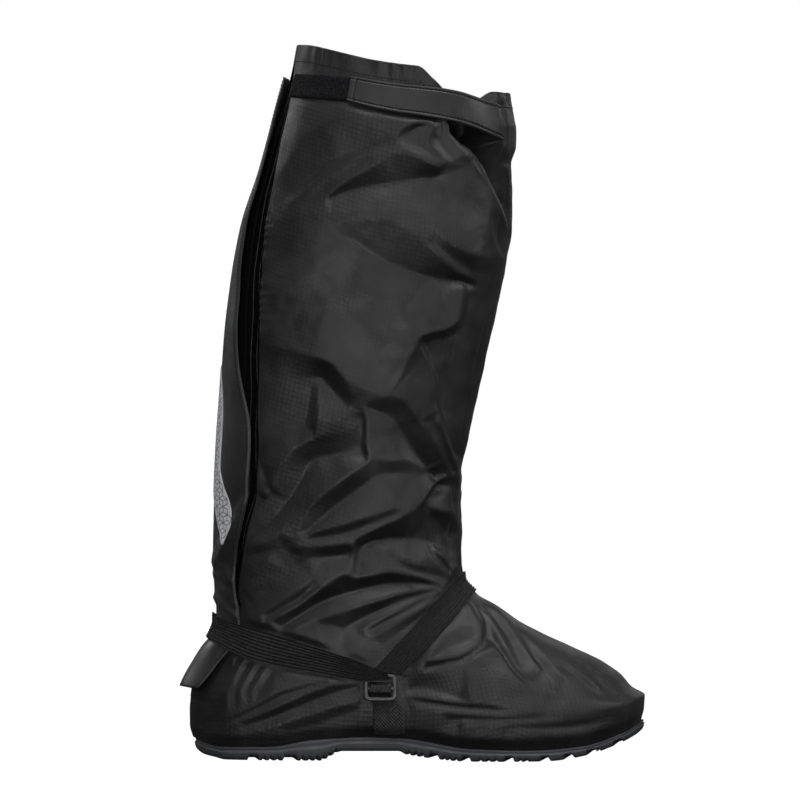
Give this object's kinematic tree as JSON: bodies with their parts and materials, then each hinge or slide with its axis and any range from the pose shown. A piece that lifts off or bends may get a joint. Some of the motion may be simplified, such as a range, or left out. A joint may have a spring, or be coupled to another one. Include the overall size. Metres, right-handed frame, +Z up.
{
  "type": "overshoe",
  "caption": "Tall waterproof overshoe of coated fabric on a thin lugged rubber sole, with a rear flap, cuff strap and elastic ankle strap, worn over a shoe in the rain.",
  "frame": {"origin": "on the floor plane, under the flat of the heel", "axes": "+X to the toe, +Y to the inner side of the foot, +Z up to the collar"},
  "size_m": [0.3118, 0.1249, 0.476],
  "materials": {
    "sole_rubber": "dull moulded rubber",
    "coated_ripstop": "satin coated ripstop",
    "woven_trim": "matt woven trim",
    "reflective_film": "silver reflective film",
    "buckle_plastic": "moulded plastic"
  },
  "bodies": {
    "root": {"outsole": "sole_rubber", "upper": "coated_ripstop", "rear_zip": "woven_trim", "rear_flap": "coated_ripstop", "reflective_strip": "reflective_film", "loop_patch": "woven_trim", "cuff_strap": "coated_ripstop", "ankle_elastic": "woven_trim", "instep_elastic": "woven_trim", "buckle": "buckle_plastic", "web_tab_outer": "woven_trim", "web_tab_inner": "woven_trim"}
  },
  "joints": []
}
